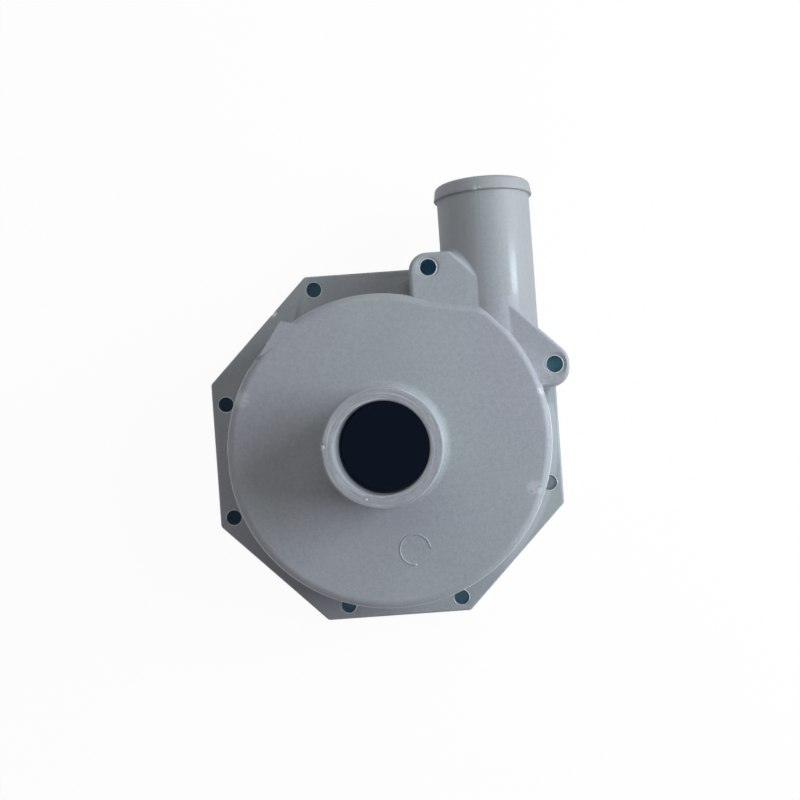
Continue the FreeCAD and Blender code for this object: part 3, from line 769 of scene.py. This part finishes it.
def new_maker(name, sizes):
    """An empty Geometry Nodes tree with a named input for each size."""
    made = bpy.data.node_groups.new(name, "GeometryNodeTree")
    made.interface.new_socket("Geometry", in_out="INPUT", socket_type="NodeSocketGeometry")
    for size in sizes:
        made.interface.new_socket(size, in_out="INPUT", socket_type="NodeSocketFloat")
    made.interface.new_socket("Geometry", in_out="OUTPUT", socket_type="NodeSocketGeometry")
    return made


burr_tree = new_maker("burr_rings", burr_sizes)
print("sizes that the tree takes:", list(burr_sizes))

# %% The burr rings
RING_CORNERS = 56
BEAD_CORNERS = 8
BURR_LUMPS = 1400.0


def circle_path(tree, corners, radius):
    """A circle, either as a ring's path or as the section that a path carries along."""
    sockets = {"Resolution": corners, "Radius": radius}
    return tree.node("GeometryNodeCurvePrimitiveCircle", sockets=sockets)


def uneven_height(tree, scale, detail, amount):
    """A push up or down that follows a noise."""
    lumps = tree.node("ShaderNodeTexNoise", sockets={"Scale": scale, "Detail": detail})
    return tree.node("ShaderNodeCombineXYZ", sockets={"Z": (lumps - NOISE_MIDDLE) * amount * 2.0})


tree = Signal(burr_tree)
given = tree.node("NodeGroupInput")
path = circle_path(tree, RING_CORNERS, given.other("Radius"))
bead = circle_path(tree, BEAD_CORNERS, given.other("Thickness"))
ring = tree.node("GeometryNodeCurveToMesh", sockets={"Curve": path, "Profile Curve": bead})
rings = tree.node("GeometryNodeInstanceOnPoints", sockets={"Points": given, "Instance": ring})
real = tree.node("GeometryNodeRealizeInstances", sockets={"Geometry": rings})
lift = uneven_height(tree, BURR_LUMPS, 1.0, given.other("Unevenness"))
uneven = tree.node("GeometryNodeSetPosition", sockets={"Geometry": real, "Offset": lift})
painted = tree.node("GeometryNodeSetMaterial", sockets={"Geometry": uneven, "Material": bare_and_highlight})
tree.node("NodeGroupOutput", sockets={"Geometry": painted})
print("nodes of the burr tree:", len(burr_tree.nodes))

# %% [markdown]
# ## From a tree to a mesh
#
# A Geometry Nodes tree makes its shape only when it is evaluated. Its inputs are set first, by their
# identifiers. The result is then copied into a plain mesh, which exports as it is. Its faces are turned
# outward, and it is measured: a closed mesh has no open edge, and its volume comes out positive.


# %% Grow the burr rings
def grown(name, corners, edges, node_group, sizes, material):
    """The closed mesh that a Geometry Nodes tree makes from some points and edges."""
    base = bpy.data.meshes.new(name)
    base.from_pydata(corners, edges, [])
    maker = bpy.data.objects.new(name, base)
    bpy.context.collection.objects.link(maker)
    modifier = maker.modifiers.new("maker", "NODES")
    modifier.node_group = node_group
    for item in node_group.interface.items_tree:
        if item.in_out == "INPUT" and item.name in sizes:
            modifier[item.identifier] = sizes[item.name]
    bpy.context.view_layer.update()
    evaluated = maker.evaluated_get(bpy.context.evaluated_depsgraph_get())
    made = bpy.data.meshes.new_from_object(evaluated)
    bpy.data.objects.remove(maker)
    made.materials.clear()
    made.materials.append(material)
    outward = bmesh.new()
    outward.from_mesh(made)
    bmesh.ops.recalc_face_normals(outward, faces=outward.faces)
    for face in outward.faces:
        face.smooth = True
        face.material_index = 0
    loose = open_edges(outward)
    volume = outward.calc_volume(signed=True) / MILLIMETRE ** 3
    outward.to_mesh(made)
    outward.free()
    piece = bpy.data.objects.new(name, made)
    bpy.context.collection.objects.link(piece)
    print(f"{name}: {len(made.polygons)} faces, {loose} open edges, {volume:.1f} cubic millimetres")
    return piece


burrs = grown("hole_burrs", mouths, [], burr_tree, burr_sizes, bare_and_highlight)

# %% [markdown]
# ## The flash round the drum
#
# Where the two halves of a mould meet, a little metal creeps into the joint and leaves a thin, uneven
# ridge. It shows as a fine pale line along the drum's edge: the ridge is real shape, and its pale bare
# metal colour is partly a painted highlight along that edge. It follows the drum's own outline, so its
# path is read from the skin: the outermost corner in each small sector, where the edge round meets the
# wall. A second Geometry Nodes tree sweeps a small round section along it.

# %% The flash line's path
FLASH_HEIGHT = 0.0481
HEIGHT_MARGIN = 0.00004
FIRST_BEARING = math.radians(146)
LAST_BEARING = math.radians(371)
BEFORE_START = 0.5
SECTORS = 110
FULL_TURN = 2 * math.pi

outermost = {}
for corner in skin.vertices:
    if abs(corner.co.z - FLASH_HEIGHT) < HEIGHT_MARGIN:
        bearing = math.atan2(corner.co.y, corner.co.x) % FULL_TURN
        if bearing < FIRST_BEARING - BEFORE_START:
            bearing += FULL_TURN
        if FIRST_BEARING < bearing < LAST_BEARING:
            sector = round(bearing / FULL_TURN * SECTORS)
            reach = math.hypot(corner.co.x, corner.co.y)
            if reach > outermost.get(sector, (0, None))[0]:
                outermost[sector] = (reach, tuple(corner.co))
route = [outermost[sector][1] for sector in sorted(outermost)]
reaches = [reach / MILLIMETRE for reach, corner in outermost.values()]
print(f"flash path of {len(route)} points, {min(reaches):.1f} to {max(reaches):.1f} mm out")

# %% The flash line
flash_sizes = {"Radius": 0.00017, "Unevenness": 0.00022, "Step": 0.0012}
FLASH_LUMPS = 190.0

flash_tree = new_maker("flash_line", flash_sizes)
tree = Signal(flash_tree)
given = tree.node("NodeGroupInput")
path = tree.node("GeometryNodeMeshToCurve", sockets={"Mesh": given})
path = tree.node("GeometryNodeResampleCurve", {"mode": "LENGTH"}, {
    "Curve": path, "Length": given.other("Step")})
lift = uneven_height(tree, FLASH_LUMPS, 2.0, given.other("Unevenness"))
path = tree.node("GeometryNodeSetPosition", sockets={"Geometry": path, "Offset": lift})
bead = circle_path(tree, BEAD_CORNERS, given.other("Radius"))
swept = tree.node("GeometryNodeCurveToMesh", sockets={
    "Curve": path, "Profile Curve": bead, "Fill Caps": True})
real = tree.node("GeometryNodeRealizeInstances", sockets={"Geometry": swept})
painted = tree.node("GeometryNodeSetMaterial", sockets={"Geometry": real, "Material": bare_and_highlight})
tree.node("NodeGroupOutput", sockets={"Geometry": painted})
route_edges = [(step, step + 1) for step in range(len(route) - 1)]
# The flash's pale bare-metal colour is partly a painted highlight along the drum's edge.
flash = grown("flash_line", route, route_edges, flash_tree, flash_sizes, bare_and_highlight)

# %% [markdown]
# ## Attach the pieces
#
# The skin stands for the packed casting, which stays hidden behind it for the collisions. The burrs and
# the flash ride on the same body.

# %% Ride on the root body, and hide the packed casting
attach(casting, "root")
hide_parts("pump_housing")
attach(burrs, "root")
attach(flash, "root")
